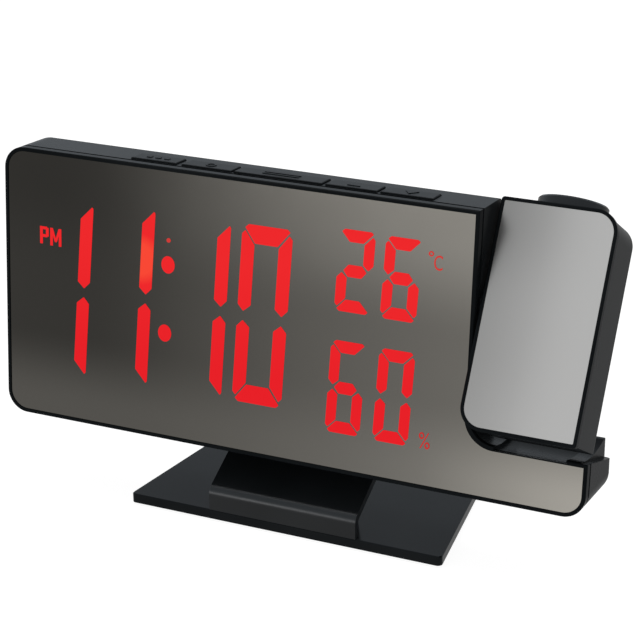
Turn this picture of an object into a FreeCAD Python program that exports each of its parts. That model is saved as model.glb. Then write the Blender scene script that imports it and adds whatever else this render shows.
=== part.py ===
import FreeCAD, Part
import math
import os

V = FreeCAD.Vector

# Driving dimensions of the clock body, mm (X right, Y back, Z up along the leaning front)
BODY_WIDTH = 195.0
BODY_HEIGHT = 87.6
TOP_DEPTH = 18.4
FOOT_DEPTH = 25.4
CORNER_RADIUS = 7.0
INNER_RADIUS = 0.6
BACK_RADIUS = 2.0
WALL = 2.0
LEAN_DEG = 5.0

# Front frame and smoked mirror
RIM_DEPTH = 2.6
EDGE_EASE = 0.3
GROOVE_WIDTH = 1.0
GROOVE_DEPTH = 0.6
RIM_WIDTH = 1.2
LEDGE_WIDTH = 2.0
MIRROR_THICKNESS = 1.3
MIRROR_RECESS = 0.3
MIRROR_GAP = 0.1
SKIRT_DEPTH = 1.2
SEAT_GAP = 0.1

# Place of the projector arm in the body
ARM_WIDTH = 35.8
ARM_GAP = 1.0
ARM_BOTTOM = 18.6
ARM_TOP_DROP = 0.6
ARM_DEPTH = 23.9
ARM_RADIUS = 7.0
ARM_SHARP = 1.0
ARM_BACK_RADIUS = 2.6
ARM_WALL = 1.6
ARM_RIM_DEPTH = 2.2
ARM_GROOVE = 0.9
ARM_GROOVE_DEPTH = 1.2
ARM_RIM_WIDTH = 1.0
ARM_STEP = 0.5
ARM_TILT_DEG = 25.0
PIVOT_Y = 12.0
PIVOT_RAISE = 0.6
SWEEP_GAP = 0.7
SHELF_TOP = 17.4
SIDE_LEDGE_WIDTH = 2.1
SIDE_LEDGE_BACK = 11.0

# Pivot of the arm
PIVOT_RADIUS = 4.5
PIVOT_BORE = 3.2
PIVOT_FIT = 0.05
PIVOT_FLANGE = 7.4
PIVOT_FLANGE_THICKNESS = 1.5
PIVOT_NUT_THICKNESS = 3.0
WASHER_RADIUS = 7.6
NUT_FLAT = 5.9

# Projection optics, on an axis parallel to the long side of the arm
OPTIC_SETBACK = 17.7
RING_RADIUS = 10.5
RING_HEIGHT = 2.8
RING_CHAMFER = 0.5
RING_FIT = 0.15
SLEEVE_RADIUS = 8.2
SLEEVE_LENGTH = 9.0
SLEEVE_LIP = 0.6
BARREL_RADIUS = 7.0
BARREL_FIT = 0.08
BARREL_LENGTH = 14.5
BARREL_WALL = 0.9
BARREL_TRAVEL = 1.0
BARREL_RECESS = 1.6
LENS_THICKNESS = 3.4
LENS_CROWN = 1.1
TUBE_RADIUS = 8.2
TUBE_WALL = 1.2
TUBE_RISE = 14.4
TUBE_CLEAR = 0.6
SLIDE_HEIGHT = 15.0
SLIDE_SIZE = 9.6
SLIDE_THICKNESS = 1.8
CONDENSER_HEIGHT = 6.0
CONDENSER_THICKNESS = 4.0
LED_BOARD_RADIUS = 8.5
BOARD = 1.6
LED_SIZE = 3.5
LED_HEIGHT = 1.9
SADDLE_THICKNESS = 2.0
SADDLE_HEIGHTS = (6.0, 30.0)

# Keys along the top, each a span in X
KEY_FRONT = 4.5
KEY_DEPTH = 6.7
KEY_PROUD = 0.5
KEY_GAP = 0.2
KEY_TRAVEL = 0.6
KEY_SPANS = {
    "key_mode": (-54.7, -39.2),
    "key_alarm": (-37.3, -20.5),
    "key_snooze": (-19.7, 9.3),
    "key_up": (10.5, 27.0),
    "key_down": (28.1, 44.6),
}
KEY_FLANGE = 0.8
KEY_STEM = 1.6
SWITCH_SIZE = 4.2
SWITCH_HEIGHT = 2.2
PLUNGER_RADIUS = 1.0

# Display behind the mirror; its shares are of the body's width and height
REFLECTOR_DEPTH = 6.0
REFLECTOR_MARGIN = 10.4
REFLECTOR_BOTTOM = 4.4
REFLECTOR_HEADROOM = 5.2
REFLECTOR_END_GAP = 1.2
DISPLAY_BOARD_DROP = 4.0
DISPLAY_POST_INSET = 6.4
WELL_DEPTH = 4.6
DIGIT_SLANT = 0.046
TIME_HEADROOM = 13.9
TIME_WIDTH = 16.8
TIME_STROKE = 4.3
TIME_BAR = 5.6
TIME_SHARES = (-0.4328, -0.3272, -0.1933, -0.0846)
TIME_BOTTOM = 17.1
CLIMATE_WIDTH = 11.4
CLIMATE_STROKE = 3.2
CLIMATE_BAR = 3.7
CLIMATE_ROWS = {
    "temperature": (0.5856, 0.2888, (0.0851, 0.1610)),
    "humidity": (0.1461, 0.3333, (0.0774, 0.1574)),
}
COLON_SHARES = ((-0.2062, 0.3984), (-0.2010, 0.6507))
COLON_RADIUS = 2.9
SEGMENT_GAP = 0.45

# Screws and bosses
BOSS_INSET = 5.5
BOSS_RADIUS = 2.6
BOSS_SPLIT = 9.2
PILOT_RADIUS = 1.1
SCREW_CLEAR = 0.3
HEAD_RADIUS = 2.2
HEAD_HEIGHT = 1.6
HEAD_COVER = 1.8
PILOT_BITE = 5.0

# Rear wall fittings
SPEAKER_INSET = 37.5
SPEAKER_Z = 34.0
SPEAKER_RADIUS = 14.0
SPEAKER_DEPTH = 4.2
GRILLE_SLOTS = 7
GRILLE_PITCH = 3.4
GRILLE_SLOT = 1.5
CELL_INSET = 22.7
CELL_Z = 32.0
CELL_RADIUS = 10.0
CELL_THICKNESS = 3.2
COVER_SIZE = 25.6
COVER_GAP = 0.2
GRIP_COUNT = 4
GRIP_INSET = 3.0
GRIP_PITCH = 1.6
GRIP_LENGTH = 9.0
GRIP_WIDTH = 0.8
GRIP_DEPTH = 0.5
HOLDER_RIM = 3.4
HOLDER_DEPTH = 5.0
MAIN_BOARD_GAP = (4.0, -0.2)
MAIN_BOARD_Z = (14.0, 44.0)
MAIN_BOARD_CLEAR = 0.3
POST_RADIUS = 2.4
POST_INSET = 3.0
INLET_OFFSET = 12.0
INLET_Z = 22.0
INLET_WIDTH = 8.9
INLET_HEIGHT = 3.3
VENT_X = -16.0
VENT_Z = 64.0
VENT_COUNT = 9
VENT_PITCH = 4.2
VENT_LENGTH = 12.0
VENT_WIDTH = 1.6

# Stand
FOOT_HEIGHT = 0.8
FOOT_RADIUS = 5.0
FOOT_INSET = 8.5
BASE_THICKNESS = 3.1
BASE_SKIN = 1.8
BASE_SKIRT = 2.2
BASE_FRONT_WIDTH = 107.0
BASE_BACK_WIDTH = 90.0
BASE_DEPTH = 64.0
BASE_FRONT = 0.7
BASE_RADIUS = 1.5
BODY_RISE = 22.0
NECK_WIDTH = 50.2
NECK_THICKNESS = 2.4
NECK_FRONT_HEIGHT = 7.0
NECK_BEND = 3.6
NECK_TONGUE = 17.0
NECK_SCREW_X = 16.0
NECK_SCREW_Z = 9.5
NECK_RIB = 2.0
NECK_RIB_X = (-20.0, 0.0, 20.0)
BASE_SCREW_X = 10.0
BASE_SCREW_Y = 9.0
NECK_BOSS_HEIGHT = 4.6

# Places that follow from the sizes above
HALF = BODY_WIDTH / 2
NOTCH_X = HALF - ARM_WIDTH - ARM_GAP
ARM_LEFT = NOTCH_X + ARM_GAP
ARM_TOP = BODY_HEIGHT - ARM_TOP_DROP
PIVOT_Z = (ARM_BOTTOM + ARM_TOP) / 2 + PIVOT_RAISE
CASING_FRONT = RIM_DEPTH + GROOVE_WIDTH
MIRROR_BACK = MIRROR_RECESS + MIRROR_THICKNESS
BACK_SLOPE = math.degrees(math.atan2(FOOT_DEPTH - TOP_DEPTH, BODY_HEIGHT))
ARM_SWEEP = math.hypot(PIVOT_Y, PIVOT_Z - ARM_BOTTOM) + SWEEP_GAP
OPTIC_X = HALF - OPTIC_SETBACK
OPTIC_Y = PIVOT_Y
RING_BOTTOM = ARM_TOP + RING_FIT
RING_TOP = RING_BOTTOM + RING_HEIGHT
RING_SWEEP = math.hypot(RING_RADIUS, RING_TOP - PIVOT_Z) + SWEEP_GAP
BODY_BASE = FOOT_HEIGHT + BASE_THICKNESS
TUBE_BOTTOM = ARM_BOTTOM + TUBE_RISE
SLIDE_LEVEL = TUBE_BOTTOM + SLIDE_HEIGHT
DISPLAY_BACK = MIRROR_BACK + REFLECTOR_DEPTH
REFLECTOR_X = (-HALF + REFLECTOR_MARGIN, NOTCH_X - WALL - BOSS_INSET - REFLECTOR_END_GAP)
REFLECTOR_TOP = BODY_HEIGHT - REFLECTOR_HEADROOM
TIME_HEIGHT = BODY_HEIGHT - TIME_BOTTOM - TIME_HEADROOM
SPEAKER_X = -HALF + SPEAKER_INSET
CELL_X = NOTCH_X - CELL_INSET
CELL_HALF = COVER_SIZE / 2 + HOLDER_RIM
MAIN_BOARD_X = (SPEAKER_X + SPEAKER_RADIUS + MAIN_BOARD_GAP[0], CELL_X - CELL_HALF - MAIN_BOARD_GAP[1])
INLET_X = sum(MAIN_BOARD_X) / 2 + INLET_OFFSET
POST_LENGTH = (FOOT_DEPTH + (TOP_DEPTH - FOOT_DEPTH) * MAIN_BOARD_Z[1] / BODY_HEIGHT - WALL - BOARD
               - HEAD_HEIGHT / 2 - DISPLAY_BACK - BOARD - MAIN_BOARD_CLEAR)


# Drawing helpers
def front(y):
    return lambda p: V(p.x, y, p.y)


def side(x):
    return lambda p: V(x, p.x, p.y)


def level(z):
    return lambda p: V(p.x, p.y, z)


def outline(corners, place):
    """Face from (u, v, radius) corners, with an arc tangent at each radius."""
    turns = []
    for i, (u, v, radius) in enumerate(corners):
        point = V(u, v, 0)
        before = V(*corners[i - 1][:2], 0) - point
        after = V(*corners[(i + 1) % len(corners)][:2], 0) - point
        if radius <= 0:
            turns.append((point, None, point))
            continue
        before.normalize()
        after.normalize()
        half = before.getAngle(after) / 2
        inward = before + after
        inward.normalize()
        reach = radius / math.tan(half)
        middle = point + inward * (radius / math.sin(half) - radius)
        turns.append((point + before * reach, middle, point + after * reach))
    edges = []
    for i, (start, middle, end) in enumerate(turns):
        if middle is not None:
            edges.append(Part.Arc(place(start), place(middle), place(end)).toShape())
        following = turns[(i + 1) % len(turns)][0]
        if (following - end).Length > 1e-6:
            edges.append(Part.LineSegment(place(end), place(following)).toShape())
    return Part.Face(Part.Wire(edges))


def block(x0, x1, y0, y1, z0, z1):
    return Part.makeBox(x1 - x0, y1 - y0, z1 - z0, V(x0, y0, z0))


def rod_y(x, z, radius, y0, y1):
    return Part.makeCylinder(radius, y1 - y0, V(x, y0, z), V(0, 1, 0))


def rod_x(y, z, radius, x0, x1):
    return Part.makeCylinder(radius, x1 - x0, V(x0, y, z), V(1, 0, 0))


def rod_z(x, y, radius, z0, z1):
    return Part.makeCylinder(radius, z1 - z0, V(x, y, z0), V(0, 0, 1))


def join(shapes):
    return shapes[0].multiFuse(shapes[1:]).removeSplitter()


def eased_front(plate):
    """Plate with a small chamfer round its front face, which lies at y = 0."""
    return plate.makeChamfer(EDGE_EASE, [edge for edge in plate.Edges if edge.BoundBox.YMax < EDGE_EASE / 2])


# Body of the clock
def back_depth(z):
    return FOOT_DEPTH + (TOP_DEPTH - FOOT_DEPTH) * z / BODY_HEIGHT


def body_outline(inset, y):
    """Front outline of the body: a rounded rectangle with the arm's notch."""
    left = -HALF + inset
    right = HALF - inset
    notch = NOTCH_X - inset
    top = BODY_HEIGHT - inset
    radius = max(CORNER_RADIUS - inset, INNER_RADIUS)
    corners = [
        (left, inset, radius),
        (right, inset, radius),
        (right, SHELF_TOP - inset, 0),
        (notch, SHELF_TOP - inset, 0),
        (notch, top, 0),
        (left, top, radius),
    ]
    return outline(corners, front(y))


def body_block(inset, y):
    """The outline run back to the sloping rear wall."""
    beyond = 5.0
    profile = outline([
        (y, -beyond, 0),
        (back_depth(-beyond) - inset, -beyond, 0),
        (back_depth(BODY_HEIGHT + beyond) - inset, BODY_HEIGHT + beyond, 0),
        (y, BODY_HEIGHT + beyond, 0),
    ], side(-HALF - beyond))
    wedge = profile.extrude(V(BODY_WIDTH + 2 * beyond, 0, 0))
    return body_outline(inset, y).extrude(V(0, 2 * FOOT_DEPTH, 0)).common(wedge)


def sweep_space(grow):
    """Room that the turning arm and its focus ring need above the shelf."""
    ledge_x = HALF - SIDE_LEDGE_WIDTH
    arm = rod_x(PIVOT_Y, PIVOT_Z, ARM_SWEEP + grow, NOTCH_X - grow, ledge_x)
    ring = rod_x(PIVOT_Y, PIVOT_Z, RING_SWEEP + grow,
                 OPTIC_X - RING_RADIUS - SWEEP_GAP - grow, OPTIC_X + RING_RADIUS + SWEEP_GAP + grow)
    slope = (SIDE_LEDGE_BACK - SHELF_TOP) / FOOT_DEPTH
    reach = FOOT_DEPTH + ARM_DEPTH
    ledge = outline([
        (-1.0, SHELF_TOP - slope - grow, 0),
        (reach, SHELF_TOP + slope * reach - grow, 0),
        (reach, BODY_HEIGHT, 0),
        (-1.0, BODY_HEIGHT, 0),
    ], side(ledge_x - grow)).extrude(V(SIDE_LEDGE_WIDTH + grow + 1.0, 0, 0))
    return arm.fuse(ring).fuse(ledge)


def boss_places():
    low = BOSS_INSET
    high = BODY_HEIGHT - BOSS_INSET
    left = -HALF + BOSS_INSET
    notch = NOTCH_X - BOSS_INSET
    return [(left, low), (left, high), (notch, high), (notch, low), (HALF - BOSS_INSET, low)]


def front_frame():
    """Rim, ledge, locating skirt and screw bosses of the front frame."""
    rim = eased_front(body_outline(0, 0).extrude(V(0, RIM_DEPTH, 0)))
    groove = body_outline(GROOVE_DEPTH, RIM_DEPTH).extrude(V(0, GROOVE_WIDTH, 0))
    skirt = body_outline(WALL + SEAT_GAP, CASING_FRONT).extrude(V(0, SKIRT_DEPTH, 0))
    frame = join([rim, groove, skirt.cut(sweep_space(WALL + SEAT_GAP))])
    recess = body_outline(RIM_WIDTH, -1).extrude(V(0, MIRROR_BACK + 1, 0))
    window = body_outline(RIM_WIDTH + LEDGE_WIDTH, -1).extrude(V(0, CASING_FRONT + SKIRT_DEPTH + 2, 0))
    frame = frame.cut(recess).cut(window)
    bosses = [rod_y(x, z, BOSS_RADIUS, MIRROR_BACK, BOSS_SPLIT) for x, z in boss_places()]
    frame = join([frame] + bosses)
    for x, z in boss_places():
        frame = frame.cut(rod_y(x, z, PILOT_RADIUS, BOSS_SPLIT - PILOT_BITE, BOSS_SPLIT + 1))
    spans = list(KEY_SPANS.values())
    key_room = block(spans[0][0] - 2, spans[-1][1] + 2, CASING_FRONT, FOOT_DEPTH,
                     key_bottom() - KEY_TRAVEL - KEY_GAP, BODY_HEIGHT)
    return frame.cut(sweep_space(0)).cut(key_room)


def front_mirror():
    return body_outline(RIM_WIDTH + MIRROR_GAP, MIRROR_RECESS).extrude(V(0, MIRROR_THICKNESS, 0))


def on_back(shape, x, z):
    """Moves a shape drawn on the plane y=0 to the sloping rear wall, at x and z."""
    turned = shape.copy()
    turned.rotate(V(0, 0, 0), V(1, 0, 0), BACK_SLOPE)
    turned.translate(V(x, back_depth(z), z))
    return turned


def slot_plate(width, height, y0, y1):
    """A plate or slot with fully rounded ends, standing on the rear wall's plane."""
    radius = min(width, height) / 2 - 0.01
    half_w = width / 2
    half_h = height / 2
    corners = [(-half_w, -half_h, radius), (half_w, -half_h, radius),
               (half_w, half_h, radius), (-half_w, half_h, radius)]
    return outline(corners, front(y0)).extrude(V(0, y1 - y0, 0))


def square_plate(size, radius, y0, y1):
    half = size / 2
    corners = [(-half, -half, radius), (half, -half, radius), (half, half, radius), (-half, half, radius)]
    return outline(corners, front(y0)).extrude(V(0, y1 - y0, 0))


def board_posts():
    return [(x, z) for x in (MAIN_BOARD_X[0] + POST_INSET, MAIN_BOARD_X[1] - POST_INSET)
            for z in (MAIN_BOARD_Z[0] + POST_INSET, MAIN_BOARD_Z[1] - POST_INSET)]


def display_posts():
    levels = (REFLECTOR_BOTTOM + DISPLAY_POST_INSET, REFLECTOR_TOP - DISPLAY_BOARD_DROP - DISPLAY_POST_INSET)
    return [(x, z) for x in (REFLECTOR_X[0] + DISPLAY_POST_INSET, REFLECTOR_X[1] - DISPLAY_POST_INSET)
            for z in levels]


def rear_openings():
    """Slots, the cell bay and the power inlet, cut through the rear wall."""
    cuts = []
    for i in range(GRILLE_SLOTS):
        offset = (i - (GRILLE_SLOTS - 1) / 2) * GRILLE_PITCH
        length = 2 * math.sqrt((SPEAKER_RADIUS - 1.5) ** 2 - offset ** 2)
        cuts.append(on_back(slot_plate(length, GRILLE_SLOT, -WALL - 1, 1), SPEAKER_X, SPEAKER_Z + offset))
    for i in range(VENT_COUNT):
        offset = (i - (VENT_COUNT - 1) / 2) * VENT_PITCH
        cuts.append(on_back(slot_plate(VENT_WIDTH, VENT_LENGTH, -WALL - 1, 1), VENT_X + offset, VENT_Z))
    opening = COVER_SIZE + 2 * COVER_GAP
    cuts.append(on_back(square_plate(opening, 2.0, -WALL - 1, 1), CELL_X, CELL_Z))
    inlet = slot_plate(INLET_WIDTH + 2 * COVER_GAP, INLET_HEIGHT + 2 * COVER_GAP, -WALL - 1, 1)
    cuts.append(on_back(inlet, INLET_X, INLET_Z))
    return cuts


def rear_rim(solid):
    """Rear edges of the body, without those of the arm's notch."""
    rim = []
    for edge in solid.Edges:
        middle = edge.CenterOfMass
        in_notch = middle.x > NOTCH_X - 1 and middle.z > SHELF_TOP - 1
        if abs(middle.y - back_depth(middle.z)) < 0.3 and not in_notch:
            rim.append(edge)
    return rim


def casing():
    """Moulded rear casing: walls, rear wall, posts, bosses, key slots and the arm's trough."""
    outer = body_block(0, CASING_FRONT)
    outer = outer.makeFillet(BACK_RADIUS, rear_rim(outer))
    inner = body_block(WALL, CASING_FRONT - 1).cut(sweep_space(WALL))
    shell = outer.cut(sweep_space(0)).cut(inner)
    posts = []
    for x, z in boss_places():
        posts.append(rod_y(x, z, BOSS_RADIUS, BOSS_SPLIT, FOOT_DEPTH))
    for x, z in display_posts():
        posts.append(rod_y(x, z, BOSS_RADIUS, DISPLAY_BACK + BOARD, FOOT_DEPTH))
    for x, z in board_posts():
        posts.append(on_back(rod_y(0, 0, POST_RADIUS, -WALL - POST_LENGTH, 0), x, z))
    for x in (-NECK_SCREW_X, NECK_SCREW_X):
        posts.append(on_back(rod_y(0, 0, BOSS_RADIUS, -WALL - PILOT_BITE - 1, 0), x, NECK_SCREW_Z))
    for x in key_rib_places():
        posts.append(block(x - 1, x + 1, KEY_FRONT + KEY_DEPTH, TOP_DEPTH + 1,
                           key_board_level() - 3, key_board_level()))
    hull = outer.cut(sweep_space(0))
    shell = join([shell] + [post.common(hull) for post in posts])
    for x, z in boss_places():
        seat = back_depth(z) - HEAD_COVER - HEAD_HEIGHT
        shell = shell.cut(rod_y(x, z, PILOT_RADIUS + SCREW_CLEAR, BOSS_SPLIT - 1, seat + 1))
        shell = shell.cut(rod_y(x, z, HEAD_RADIUS + SCREW_CLEAR, seat, FOOT_DEPTH + 1))
    for x, z in board_posts():
        shell = shell.cut(on_back(rod_y(0, 0, PILOT_RADIUS, -WALL - POST_LENGTH - 1,
                                        -WALL - POST_LENGTH + PILOT_BITE), x, z))
    for x in (-NECK_SCREW_X, NECK_SCREW_X):
        shell = shell.cut(on_back(rod_y(0, 0, PILOT_RADIUS, -WALL - PILOT_BITE, 1), x, NECK_SCREW_Z))
    for span in KEY_SPANS.values():
        shell = shell.cut(key_slot(span))
    for cut in rear_openings():
        shell = shell.cut(cut)
    hole = rod_x(PIVOT_Y, PIVOT_Z, PIVOT_RADIUS + PIVOT_FIT, NOTCH_X - WALL - 1, NOTCH_X + 1)
    return shell.cut(hole)


def casing_screws():
    screws = []
    for x, z in boss_places():
        seat = back_depth(z) - HEAD_COVER - HEAD_HEIGHT
        shank = rod_y(x, z, PILOT_RADIUS, BOSS_SPLIT - PILOT_BITE + 0.5, seat)
        screws.append(join([shank, rod_y(x, z, HEAD_RADIUS, seat, seat + HEAD_HEIGHT)]))
    return Part.makeCompound(screws)


# Keys along the top
def key_slot(span):
    return block(span[0] - KEY_GAP, span[1] + KEY_GAP, KEY_FRONT - KEY_GAP, KEY_FRONT + KEY_DEPTH + KEY_GAP,
                 BODY_HEIGHT - WALL - 1, BODY_HEIGHT + 1)


def key_bottom():
    """Lower face of a key's flange, which its travel carries down."""
    return BODY_HEIGHT - WALL - KEY_GAP - KEY_FLANGE


def key_board_level():
    return key_bottom() - KEY_TRAVEL - KEY_GAP - SWITCH_HEIGHT - KEY_TRAVEL - BOARD


def key_rib_places():
    spans = list(KEY_SPANS.values())
    low = spans[0][0]
    high = spans[-1][1]
    return (low + 1, (low + high) / 2, high - 1)


def key(span):
    """Cap with eased edges, and the flange that keeps it in its slot."""
    x0, x1 = span
    y0 = KEY_FRONT
    y1 = KEY_FRONT + KEY_DEPTH
    cap = block(x0, x1, y0, y1, key_bottom(), BODY_HEIGHT + KEY_PROUD)
    top = [e for e in cap.Edges if e.BoundBox.ZMin > BODY_HEIGHT]
    cap = cap.makeFillet(KEY_PROUD * 0.7, top)
    flange = block(x0 - KEY_GAP * 1.5, x1 + KEY_GAP * 1.5, y0 - KEY_STEM / 2, y1 + KEY_STEM / 2,
                   key_bottom(), key_bottom() + KEY_FLANGE)
    return join([cap, flange])


def switch_places():
    y = KEY_FRONT + KEY_DEPTH - KEY_STEM / 2
    return [((x0 + x1) / 2, y) for x0, x1 in KEY_SPANS.values()]


def key_board():
    spans = list(KEY_SPANS.values())
    return block(spans[0][0], spans[-1][1], DISPLAY_BACK + BOARD + 0.4, TOP_DEPTH - WALL - 0.6,
                 key_board_level(), key_board_level() + BOARD)


def key_switches():
    base = key_board_level() + BOARD
    half = SWITCH_SIZE / 2
    switches = []
    for x, y in switch_places():
        body = block(x - half, x + half, y - half + 1.2, y + half + 1.2, base, base + SWITCH_HEIGHT)
        plunger = rod_z(x, y + 1.2, PLUNGER_RADIUS, base, base + SWITCH_HEIGHT + KEY_TRAVEL)
        switches.append(join([body, plunger]))
    return Part.makeCompound(switches)


# Display behind the mirror
def digit_polygons(left, bottom, width, height, stroke, bar):
    """The seven segments of one digit as flat polygons, before they are slanted."""
    right = left + width
    top = bottom + height
    middle = bottom + height / 2
    half = bar / 2
    gap = SEGMENT_GAP
    bars = [
        [(left + gap, top), (right - gap, top), (right - stroke - gap, top - bar), (left + stroke + gap, top - bar)],
        [(left + gap, bottom), (right - gap, bottom), (right - stroke - gap, bottom + bar),
         (left + stroke + gap, bottom + bar)],
        [(left + stroke / 2 + gap, middle), (left + stroke + gap, middle + half),
         (right - stroke - gap, middle + half), (right - stroke / 2 - gap, middle),
         (right - stroke - gap, middle - half), (left + stroke + gap, middle - half)],
    ]
    for outer, inner in ((left, left + stroke), (right, right - stroke)):
        for end, way in ((top, 1), (bottom, -1)):
            bars.append([(outer, end - way * 2 * gap), (inner, end - way * (bar + gap)),
                         (inner, middle + way * (half + gap)), ((inner + outer) / 2, middle + way * 2 * gap),
                         (outer, middle + way * (half + gap))])
    return bars


def well(points, bottom):
    """Light well of one segment, cut into the reflector from its front."""
    slanted = [(x + (z - bottom) * DIGIT_SLANT, z, 0) for x, z in points]
    return outline(slanted, front(MIRROR_BACK - 1)).extrude(V(0, WELL_DEPTH + 1, 0))


def reflector():
    """White frame with a light well for every segment of the display."""
    plate = block(*REFLECTOR_X, MIRROR_BACK, DISPLAY_BACK, REFLECTOR_BOTTOM, REFLECTOR_TOP)
    wells = []
    for share in TIME_SHARES:
        bars = digit_polygons(share * BODY_WIDTH, TIME_BOTTOM, TIME_WIDTH, TIME_HEIGHT, TIME_STROKE, TIME_BAR)
        wells += [well(points, TIME_BOTTOM) for points in bars]
    for low_share, height_share, left_shares in CLIMATE_ROWS.values():
        bottom = low_share * BODY_HEIGHT
        height = height_share * BODY_HEIGHT
        for share in left_shares:
            bars = digit_polygons(share * BODY_WIDTH, bottom, CLIMATE_WIDTH, height, CLIMATE_STROKE, CLIMATE_BAR)
            wells += [well(points, bottom) for points in bars]
    for across, up in COLON_SHARES:
        wells.append(rod_y(across * BODY_WIDTH, up * BODY_HEIGHT, COLON_RADIUS, MIRROR_BACK - 1,
                           MIRROR_BACK + WELL_DEPTH))
    return plate.cut(Part.makeCompound(wells))


def display_board():
    return block(*REFLECTOR_X, DISPLAY_BACK, DISPLAY_BACK + BOARD, REFLECTOR_BOTTOM,
                 REFLECTOR_TOP - DISPLAY_BOARD_DROP)


# Parts on the inside of the rear wall
def speaker():
    rim = rod_y(0, 0, SPEAKER_RADIUS, -WALL - 1.2, -WALL)
    bowl = Part.makeCone(SPEAKER_RADIUS - 4, SPEAKER_RADIUS - 1, SPEAKER_DEPTH - 2.2,
                         V(0, -WALL - SPEAKER_DEPTH + 1.0, 0), V(0, 1, 0))
    magnet = rod_y(0, 0, SPEAKER_RADIUS - 7, -WALL - SPEAKER_DEPTH - 1, -WALL - SPEAKER_DEPTH + 1.0)
    return on_back(join([rim, bowl, magnet]), SPEAKER_X, SPEAKER_Z)


def main_board():
    width = MAIN_BOARD_X[1] - MAIN_BOARD_X[0]
    height = MAIN_BOARD_Z[1] - MAIN_BOARD_Z[0]
    y1 = -WALL - POST_LENGTH
    plate = block(-width / 2, width / 2, y1 - BOARD, y1, -height / 2, height / 2)
    x = sum(MAIN_BOARD_X) / 2
    z = sum(MAIN_BOARD_Z) / 2
    board = on_back(plate, x, z)
    for px, pz in board_posts():
        board = board.cut(on_back(rod_y(0, 0, PILOT_RADIUS + SCREW_CLEAR, y1 - BOARD - 1, y1 + 1), px, pz))
    return board


def board_screws():
    y1 = -WALL - POST_LENGTH
    screws = []
    for x, z in board_posts():
        shank = rod_y(0, 0, PILOT_RADIUS, y1 - BOARD, y1 + PILOT_BITE - 1)
        head = rod_y(0, 0, HEAD_RADIUS, y1 - BOARD - HEAD_HEIGHT / 2, y1 - BOARD)
        screws.append(on_back(join([shank, head]), x, z))
    return Part.makeCompound(screws)


def power_inlet():
    """Socket with rounded shell and centre tongue, standing on the main board."""
    y1 = -0.4
    y0 = -WALL - POST_LENGTH
    shell = slot_plate(INLET_WIDTH, INLET_HEIGHT, y0, y1)
    mouth = slot_plate(INLET_WIDTH - 0.7, INLET_HEIGHT - 0.7, y1 - 6.2, y1 + 1)
    tongue = block(-3.2, 3.2, y1 - 6.2, y1 - 0.9, -0.35, 0.35)
    return on_back(join([shell.cut(mouth), tongue]), INLET_X, INLET_Z)


def cell_holder():
    cup = square_plate(2 * CELL_HALF, 3.0, -WALL - HOLDER_DEPTH, -WALL)
    pocket = rod_y(0, 0, CELL_RADIUS + COVER_GAP, -WALL - CELL_THICKNESS - 0.4, -WALL + 1)
    finger = rod_y(CELL_RADIUS, 0, 4.0, -WALL - CELL_THICKNESS - 0.4, -WALL + 1)
    return on_back(cup.cut(pocket).cut(finger), CELL_X, CELL_Z)


def coin_cell():
    floor = -WALL - CELL_THICKNESS - 0.4
    can = rod_y(0, 0, CELL_RADIUS, floor + 0.5, floor + CELL_THICKNESS)
    cap = rod_y(0, 0, CELL_RADIUS - 1.2, floor, floor + 0.5)
    return on_back(join([can, cap]), CELL_X, CELL_Z)


def cell_cover():
    """Snap-in cover with a finger recess of parallel ribs."""
    plate = square_plate(COVER_SIZE, 1.8, -WALL, 0)
    for i in range(GRIP_COUNT):
        groove = slot_plate(GRIP_LENGTH, GRIP_WIDTH, -GRIP_DEPTH, 1)
        groove.translate(V(0, 0, COVER_SIZE / 2 - GRIP_INSET - i * GRIP_PITCH))
        plate = plate.cut(groove)
    return on_back(plate, CELL_X, CELL_Z)


# Projector arm, drawn upright in its closed place
def arm_outline(inset, y):
    radius = ARM_RADIUS - inset
    sharp = max(ARM_SHARP - inset, 0.3)
    x0 = ARM_LEFT + inset
    x1 = HALF - inset
    z0 = ARM_BOTTOM + inset
    z1 = ARM_TOP - inset
    return outline([(x0, z0, radius), (x1, z0, sharp), (x1, z1, radius), (x0, z1, sharp)], front(y))


def arm_screw_places():
    left = ARM_LEFT + ARM_STEP + ARM_WALL + BOSS_RADIUS + 0.6
    right = HALF - ARM_STEP - ARM_WALL - BOSS_RADIUS - 0.6
    return [(left, ARM_BOTTOM + 9.0), (right, ARM_BOTTOM + 6.0), (left, ARM_TOP - 6.0), (right, ARM_TOP - 9.0)]


def arm_front():
    """Front frame of the arm: tray for the mirror, groove and screw bosses."""
    rim = eased_front(arm_outline(0, 0).extrude(V(0, ARM_RIM_DEPTH, 0)))
    neck = arm_outline(ARM_GROOVE_DEPTH, ARM_RIM_DEPTH).extrude(V(0, ARM_GROOVE, 0))
    bosses = [rod_y(x, z, BOSS_RADIUS, ARM_RIM_DEPTH, BOSS_SPLIT) for x, z in arm_screw_places()]
    tray = join([rim, neck] + bosses)
    tray = tray.cut(arm_outline(ARM_RIM_WIDTH, -1).extrude(V(0, MIRROR_BACK + 1, 0)))
    for x, z in arm_screw_places():
        tray = tray.cut(rod_y(x, z, PILOT_RADIUS, BOSS_SPLIT - PILOT_BITE, BOSS_SPLIT + 1))
    return tray


def arm_mirror():
    return arm_outline(ARM_RIM_WIDTH + MIRROR_GAP, MIRROR_RECESS).extrude(V(0, MIRROR_THICKNESS, 0))


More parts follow.
